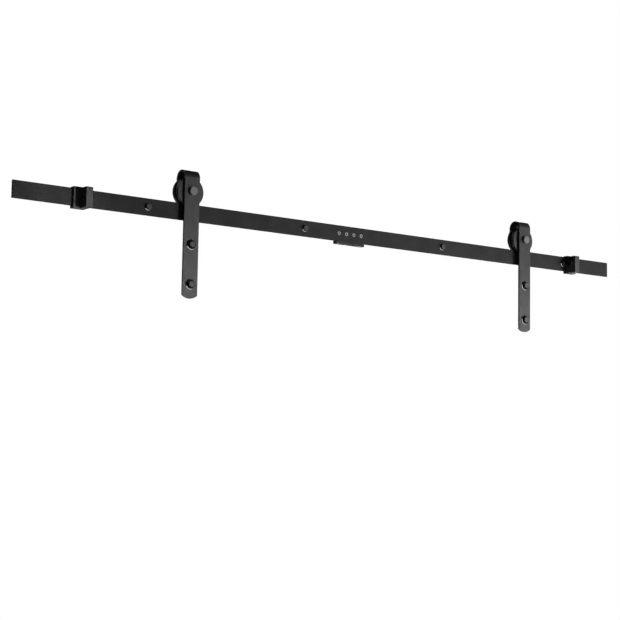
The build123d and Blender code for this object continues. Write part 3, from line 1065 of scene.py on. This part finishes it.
def make_floor():
    """A level floor. Its object's origin is on it, because the fade is measured from there."""
    corners = [(FLOOR_SPAN[i], FLOOR_SPAN[j], 0) for i, j in RECTANGLE]
    floor = make_plane("floor", corners, floor_material())
    floor.location.z = FLOOR_Z


def make_flag(name, corners):
    """A black flag out of view that keeps one side of the set dark, as in the photo."""
    material, _, shader = node_material(name)
    shader.inputs["Base Color"].default_value = BLACK
    shader.inputs["Specular IOR Level"].default_value = 0.0
    flag = make_plane(name, corners, material)
    flag.visible_camera = False


def make_world():
    """White for what the camera and gloss see. For the rest, ambient light that dims upwards."""
    world = bpy.data.worlds.new("studio")
    bpy.context.scene.world = world
    world.use_nodes = True
    tree = world.node_tree
    background = tree.nodes["Background"]
    background.inputs["Color"].default_value = WHITE
    direction = tree.nodes.new("ShaderNodeSeparateXYZ")
    tree.links.new(tree.nodes.new("ShaderNodeTexCoord").outputs["Generated"], direction.inputs[0])
    ambient = add_range(tree, direction.outputs["Z"], AMBIENT_LEVEL, AMBIENT_ZENITH, 0.0, 1.0)
    strength = tree.nodes.new("ShaderNodeMath")
    strength.operation = "MAXIMUM"
    tree.links.new(ambient, strength.inputs[0])
    tree.links.new(seen_rays(tree), strength.inputs[1])
    tree.links.new(strength.outputs["Value"], background.inputs["Strength"])


def make_softbox(name, place, target, size, power, spread_degrees):
    """A rectangular lamp of a width and a height, turned to a target."""
    light = bpy.data.lights.new(name, "AREA")
    light.shape = "RECTANGLE"
    light.size, light.size_y = size
    light.energy = power
    light.spread = math.radians(spread_degrees)
    lamp = bpy.data.objects.new(name, light)
    lamp.location = place
    lamp.rotation_euler = (Vector(target) - Vector(place)).to_track_quat("-Z", "Y").to_euler()
    bpy.context.scene.collection.objects.link(lamp)


def make_camera():
    """The photo's camera, from its yaw, pitch, roll and lens."""
    data = bpy.data.cameras.new("photo_camera")
    data.sensor_width = CAMERA_SENSOR_MM
    data.lens = CAMERA_LENS_MM
    data.clip_end = CAMERA_CLIP_END
    camera = bpy.data.objects.new("photo_camera", data)
    forward = Vector((
        math.sin(CAMERA_YAW) * math.cos(CAMERA_PITCH),
        math.cos(CAMERA_YAW) * math.cos(CAMERA_PITCH),
        math.sin(CAMERA_PITCH),
    ))
    level_right = Vector((math.cos(CAMERA_YAW), -math.sin(CAMERA_YAW), 0.0))
    level_up = level_right.cross(forward)
    right = level_right * math.cos(CAMERA_ROLL) + level_up * math.sin(CAMERA_ROLL)
    up = level_up * math.cos(CAMERA_ROLL) - level_right * math.sin(CAMERA_ROLL)
    turn = Matrix((right, up, -forward)).transposed()
    camera.matrix_world = Matrix.Translation(CAMERA_PLACE) @ turn.to_4x4()
    bpy.context.scene.collection.objects.link(camera)
    bpy.context.scene.camera = camera


make_camera()
make_floor()
make_world()
make_flag("side_flag", [(SIDE_FLAG_X, SIDE_FLAG_Y[i], SIDE_FLAG_Z[j]) for i, j in RECTANGLE])
make_flag("top_flag", [(TOP_FLAG_X[i], TOP_FLAG_Y[j], TOP_FLAG_Z) for i, j in RECTANGLE])
make_softbox(
    "key_softbox", KEY_LAMP_PLACE, KEY_LAMP_TARGET, KEY_LAMP_SIZE, KEY_LAMP_POWER, KEY_LAMP_SPREAD
)
make_softbox(
    "side_softbox", SIDE_LAMP_PLACE, SIDE_LAMP_TARGET, SIDE_LAMP_SIZE, SIDE_LAMP_POWER, SIDE_LAMP_SPREAD
)
make_softbox(
    "end_softbox", END_LAMP_PLACE, END_LAMP_TARGET, END_LAMP_SIZE, END_LAMP_POWER, END_LAMP_SPREAD
)
make_softbox(
    "back_softbox", BACK_LAMP_PLACE, BACK_LAMP_TARGET, BACK_LAMP_SIZE, BACK_LAMP_POWER, BACK_LAMP_SPREAD
)
bpy.context.scene.view_settings.view_transform = "Standard"
